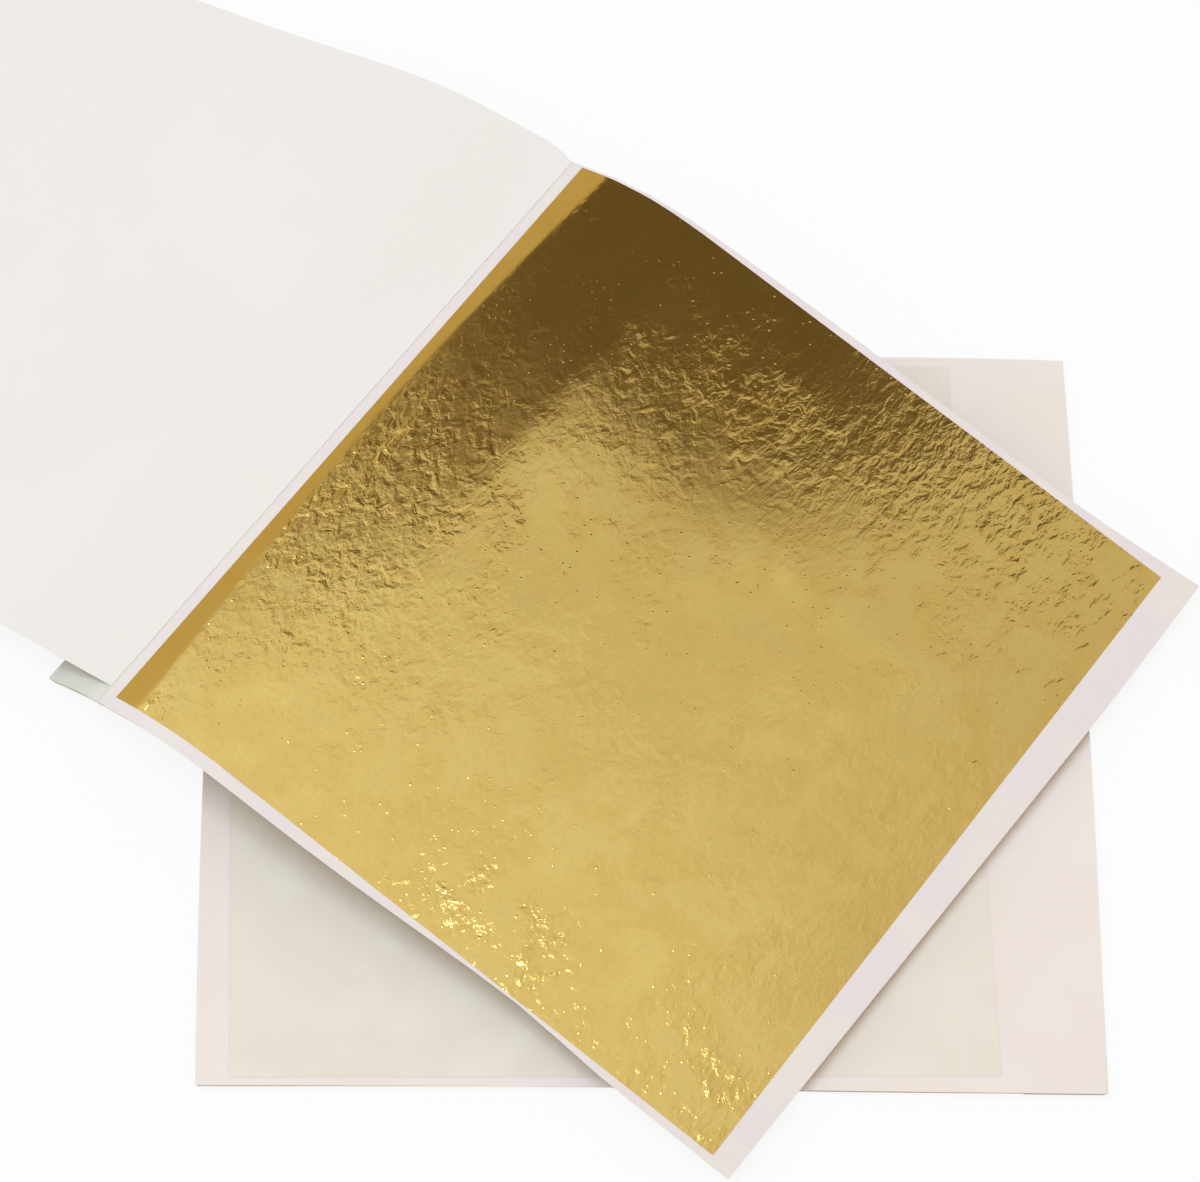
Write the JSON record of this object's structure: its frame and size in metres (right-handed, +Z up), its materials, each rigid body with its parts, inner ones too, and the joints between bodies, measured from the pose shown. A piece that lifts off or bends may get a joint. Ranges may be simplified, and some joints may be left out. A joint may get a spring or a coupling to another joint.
{
  "type": "gold leaf booklet",
  "caption": "Square gold leaf in tissue booklets bound along one edge, one open with its first tissue turned back, lying across a closed one.",
  "frame": {"origin": "middle of the closed booklet's underside, on the surface that it lies on", "axes": "+Z up, +Y along the closed booklet's spine from its foot to its head, +X from its fore-edge to its spine"},
  "size_m": [0.3246, 0.2841, 0.0178],
  "materials": {
    "tissue": "thin unglazed tissue, slightly cloudy",
    "gold": "beaten leaf, bright, finely crinkled",
    "backing_paper": "cream sheet, matt",
    "bound_edge": "edges of the leaves glued into one strip, matt"
  },
  "bodies": {
    "closed_booklet": {"closed_backing_sheet": "backing_paper", "closed_tissue_leaves": "tissue", "closed_gold_leaves": "gold", "closed_bound_strip": "bound_edge", "closed_cover_leaf": "tissue"},
    "open_booklet": {"backing_sheet": "backing_paper", "bound_strip": "bound_edge"},
    "turned_leaf": {"turned_leaf": "tissue"},
    "leaf_01": {"tissue_leaf_01": "tissue"},
    "gold_leaf_01": {"gold_leaf_01": "gold"},
    "leaf_02": {"tissue_leaf_02": "tissue", "gold_leaf_02": "gold"},
    "leaf_03": {"tissue_leaf_03": "tissue", "gold_leaf_03": "gold"},
    "leaf_04": {"tissue_leaf_04": "tissue", "gold_leaf_04": "gold"},
    "leaf_05": {"tissue_leaf_05": "tissue", "gold_leaf_05": "gold"},
    "leaf_06": {"tissue_leaf_06": "tissue", "gold_leaf_06": "gold"},
    "leaf_07": {"tissue_leaf_07": "tissue", "gold_leaf_07": "gold"},
    "leaf_08": {"tissue_leaf_08": "tissue", "gold_leaf_08": "gold"},
    "leaf_09": {"tissue_leaf_09": "tissue", "gold_leaf_09": "gold"},
    "leaf_10": {"tissue_leaf_10": "tissue", "gold_leaf_10": "gold"},
    "leaf_11": {"tissue_leaf_11": "tissue", "gold_leaf_11": "gold"},
    "leaf_12": {"tissue_leaf_12": "tissue", "gold_leaf_12": "gold"},
    "leaf_13": {"tissue_leaf_13": "tissue", "gold_leaf_13": "gold"},
    "leaf_14": {"tissue_leaf_14": "tissue", "gold_leaf_14": "gold"},
    "leaf_15": {"tissue_leaf_15": "tissue", "gold_leaf_15": "gold"},
    "leaf_16": {"tissue_leaf_16": "tissue", "gold_leaf_16": "gold"},
    "leaf_17": {"tissue_leaf_17": "tissue", "gold_leaf_17": "gold"},
    "leaf_18": {"tissue_leaf_18": "tissue", "gold_leaf_18": "gold"},
    "leaf_19": {"tissue_leaf_19": "tissue", "gold_leaf_19": "gold"},
    "leaf_20": {"tissue_leaf_20": "tissue", "gold_leaf_20": "gold"},
    "leaf_21": {"tissue_leaf_21": "tissue", "gold_leaf_21": "gold"},
    "leaf_22": {"tissue_leaf_22": "tissue", "gold_leaf_22": "gold"},
    "leaf_23": {"tissue_leaf_23": "tissue", "gold_leaf_23": "gold"},
    "leaf_24": {"tissue_leaf_24": "tissue", "gold_leaf_24": "gold"},
    "leaf_25": {"tissue_leaf_25": "tissue", "gold_leaf_25": "gold"}
  },
  "joints": [
    {"name": "open_booklet_lift", "type": "slide", "parent": "closed_booklet", "child": "open_booklet", "axis": [0, 0, 1], "range_m": [0, 0.2]},
    {"name": "turned_leaf_turn", "type": "hinge", "parent": "open_booklet", "child": "turned_leaf", "pos_m": [-0.0145, 0.1117, 0.01], "axis": [-0.6074, -0.7944, 0], "range_deg": [-150, 0]},
    {"name": "leaf_01_turn", "type": "hinge", "parent": "open_booklet", "child": "leaf_01", "pos_m": [-0.0145, 0.1117, 0.01], "axis": [-0.6074, -0.7944, 0], "range_deg": [0, 150]},
    {"name": "leaf_02_turn", "type": "hinge", "parent": "open_booklet", "child": "leaf_02", "pos_m": [-0.0145, 0.1117, 0.01], "axis": [-0.6074, -0.7944, 0], "range_deg": [0, 147.88]},
    {"name": "leaf_03_turn", "type": "hinge", "parent": "open_booklet", "child": "leaf_03", "pos_m": [-0.0145, 0.1117, 0.01], "axis": [-0.6074, -0.7944, 0], "range_deg": [0, 145.75]},
    {"name": "leaf_04_turn", "type": "hinge", "parent": "open_booklet", "child": "leaf_04", "pos_m": [-0.0145, 0.1117, 0.01], "axis": [-0.6074, -0.7944, 0], "range_deg": [0, 143.63]},
    {"name": "leaf_05_turn", "type": "hinge", "parent": "open_booklet", "child": "leaf_05", "pos_m": [-0.0145, 0.1117, 0.01], "axis": [-0.6074, -0.7944, 0], "range_deg": [0, 141.5]},
    {"name": "leaf_06_turn", "type": "hinge", "parent": "open_booklet", "child": "leaf_06", "pos_m": [-0.0145, 0.1117, 0.01], "axis": [-0.6074, -0.7944, 0], "range_deg": [0, 139.38]},
    {"name": "leaf_07_turn", "type": "hinge", "parent": "open_booklet", "child": "leaf_07", "pos_m": [-0.0145, 0.1117, 0.01], "axis": [-0.6074, -0.7944, 0], "range_deg": [0, 137.25]},
    {"name": "leaf_08_turn", "type": "hinge", "parent": "open_booklet", "child": "leaf_08", "pos_m": [-0.0145, 0.1117, 0.01], "axis": [-0.6074, -0.7944, 0], "range_deg": [0, 135.13]},
    {"name": "leaf_09_turn", "type": "hinge", "parent": "open_booklet", "child": "leaf_09", "pos_m": [-0.0145, 0.1117, 0.01], "axis": [-0.6074, -0.7944, 0], "range_deg": [0, 133]},
    {"name": "leaf_10_turn", "type": "hinge", "parent": "open_booklet", "child": "leaf_10", "pos_m": [-0.0145, 0.1117, 0.01], "axis": [-0.6074, -0.7944, 0], "range_deg": [0, 130.88]},
    {"name": "leaf_11_turn", "type": "hinge", "parent": "open_booklet", "child": "leaf_11", "pos_m": [-0.0145, 0.1117, 0.01], "axis": [-0.6074, -0.7944, 0], "range_deg": [0, 128.75]},
    {"name": "leaf_12_turn", "type": "hinge", "parent": "open_booklet", "child": "leaf_12", "pos_m": [-0.0145, 0.1117, 0.01], "axis": [-0.6074, -0.7944, 0], "range_deg": [0, 126.63]},
    {"name": "leaf_13_turn", "type": "hinge", "parent": "open_booklet", "child": "leaf_13", "pos_m": [-0.0145, 0.1117, 0.01], "axis": [-0.6074, -0.7944, 0], "range_deg": [0, 124.5]},
    {"name": "leaf_14_turn", "type": "hinge", "parent": "open_booklet", "child": "leaf_14", "pos_m": [-0.0145, 0.1117, 0.01], "axis": [-0.6074, -0.7944, 0], "range_deg": [0, 122.38]},
    {"name": "leaf_15_turn", "type": "hinge", "parent": "open_booklet", "child": "leaf_15", "pos_m": [-0.0145, 0.1117, 0.01], "axis": [-0.6074, -0.7944, 0], "range_deg": [0, 120.25]},
    {"name": "leaf_16_turn", "type": "hinge", "parent": "open_booklet", "child": "leaf_16", "pos_m": [-0.0145, 0.1117, 0.01], "axis": [-0.6074, -0.7944, 0], "range_deg": [0, 118.13]},
    {"name": "leaf_17_turn", "type": "hinge", "parent": "open_booklet", "child": "leaf_17", "pos_m": [-0.0145, 0.1117, 0.01], "axis": [-0.6074, -0.7944, 0], "range_deg": [0, 116]},
    {"name": "leaf_18_turn", "type": "hinge", "parent": "open_booklet", "child": "leaf_18", "pos_m": [-0.0145, 0.1117, 0.01], "axis": [-0.6074, -0.7944, 0], "range_deg": [0, 113.88]},
    {"name": "leaf_19_turn", "type": "hinge", "parent": "open_booklet", "child": "leaf_19", "pos_m": [-0.0145, 0.1117, 0.01], "axis": [-0.6074, -0.7944, 0], "range_deg": [0, 111.75]},
    {"name": "leaf_20_turn", "type": "hinge", "parent": "open_booklet", "child": "leaf_20", "pos_m": [-0.0145, 0.1117, 0.01], "axis": [-0.6074, -0.7944, 0], "range_deg": [0, 109.63]},
    {"name": "leaf_21_turn", "type": "hinge", "parent": "open_booklet", "child": "leaf_21", "pos_m": [-0.0145, 0.1117, 0.01], "axis": [-0.6074, -0.7944, 0], "range_deg": [0, 107.5]},
    {"name": "leaf_22_turn", "type": "hinge", "parent": "open_booklet", "child": "leaf_22", "pos_m": [-0.0145, 0.1117, 0.01], "axis": [-0.6074, -0.7944, 0], "range_deg": [0, 105.38]},
    {"name": "leaf_23_turn", "type": "hinge", "parent": "open_booklet", "child": "leaf_23", "pos_m": [-0.0145, 0.1117, 0.01], "axis": [-0.6074, -0.7944, 0], "range_deg": [0, 103.25]},
    {"name": "leaf_24_turn", "type": "hinge", "parent": "open_booklet", "child": "leaf_24", "pos_m": [-0.0145, 0.1117, 0.01], "axis": [-0.6074, -0.7944, 0], "range_deg": [0, 101.13]},
    {"name": "leaf_25_turn", "type": "hinge", "parent": "open_booklet", "child": "leaf_25", "pos_m": [-0.0145, 0.1117, 0.01], "axis": [-0.6074, -0.7944, 0], "range_deg": [0, 99]},
    {"name": "gold_leaf_01_slide", "type": "slide", "parent": "leaf_01", "child": "gold_leaf_01", "axis": [-0.6074, -0.7944, 0], "range_m": [0, 0.15]}
  ],
  "couplings": [
    {"joint": "leaf_02_turn", "follows": "leaf_01_turn", "ratio": 0.98583},
    {"joint": "leaf_03_turn", "follows": "leaf_01_turn", "ratio": 0.97167},
    {"joint": "leaf_04_turn", "follows": "leaf_01_turn", "ratio": 0.9575},
    {"joint": "leaf_05_turn", "follows": "leaf_01_turn", "ratio": 0.94333},
    {"joint": "leaf_06_turn", "follows": "leaf_01_turn", "ratio": 0.92917},
    {"joint": "leaf_07_turn", "follows": "leaf_01_turn", "ratio": 0.915},
    {"joint": "leaf_08_turn", "follows": "leaf_01_turn", "ratio": 0.90083},
    {"joint": "leaf_09_turn", "follows": "leaf_01_turn", "ratio": 0.88667},
    {"joint": "leaf_10_turn", "follows": "leaf_01_turn", "ratio": 0.8725},
    {"joint": "leaf_11_turn", "follows": "leaf_01_turn", "ratio": 0.85833},
    {"joint": "leaf_12_turn", "follows": "leaf_01_turn", "ratio": 0.84417},
    {"joint": "leaf_13_turn", "follows": "leaf_01_turn", "ratio": 0.83},
    {"joint": "leaf_14_turn", "follows": "leaf_01_turn", "ratio": 0.81583},
    {"joint": "leaf_15_turn", "follows": "leaf_01_turn", "ratio": 0.80167},
    {"joint": "leaf_16_turn", "follows": "leaf_01_turn", "ratio": 0.7875},
    {"joint": "leaf_17_turn", "follows": "leaf_01_turn", "ratio": 0.77333},
    {"joint": "leaf_18_turn", "follows": "leaf_01_turn", "ratio": 0.75917},
    {"joint": "leaf_19_turn", "follows": "leaf_01_turn", "ratio": 0.745},
    {"joint": "leaf_20_turn", "follows": "leaf_01_turn", "ratio": 0.73083},
    {"joint": "leaf_21_turn", "follows": "leaf_01_turn", "ratio": 0.71667},
    {"joint": "leaf_22_turn", "follows": "leaf_01_turn", "ratio": 0.7025},
    {"joint": "leaf_23_turn", "follows": "leaf_01_turn", "ratio": 0.68833},
    {"joint": "leaf_24_turn", "follows": "leaf_01_turn", "ratio": 0.67417},
    {"joint": "leaf_25_turn", "follows": "leaf_01_turn", "ratio": 0.66}
  ]
}
